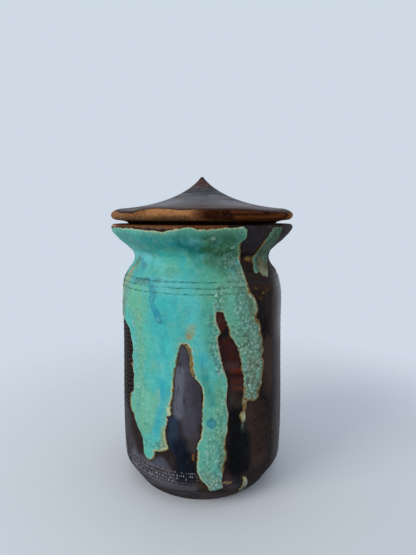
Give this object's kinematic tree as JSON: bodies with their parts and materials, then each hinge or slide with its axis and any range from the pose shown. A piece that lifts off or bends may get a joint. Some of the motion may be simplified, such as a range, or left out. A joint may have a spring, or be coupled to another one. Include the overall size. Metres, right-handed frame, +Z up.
{
  "type": "lidded pottery jar",
  "caption": "Wheel-thrown stoneware storage jar with a necked, flared mouth and a pointed lift-off lid, covered in a run turquoise glaze over iron brown.",
  "frame": {"origin": "middle of the foot, on the surface that the jar stands on", "axes": "+Z up through the tip of the lid, -Y towards the front that the picture shows, +X to its right"},
  "size_m": [0.1106, 0.1106, 0.1862],
  "materials": {
    "body_glaze": "glossy turquoise glaze run over a satin iron-brown glaze",
    "lid_glaze": "satin iron-brown glaze with a bare clay band round the rim"
  },
  "bodies": {
    "jar": {"jar_body": "body_glaze"},
    "lid": {"lid": "lid_glaze"}
  },
  "joints": [
    {"name": "lid_lift", "type": "slide", "parent": "jar", "child": "lid", "axis": [0, 0, 1], "range_m": [0, 0.08]}
  ]
}
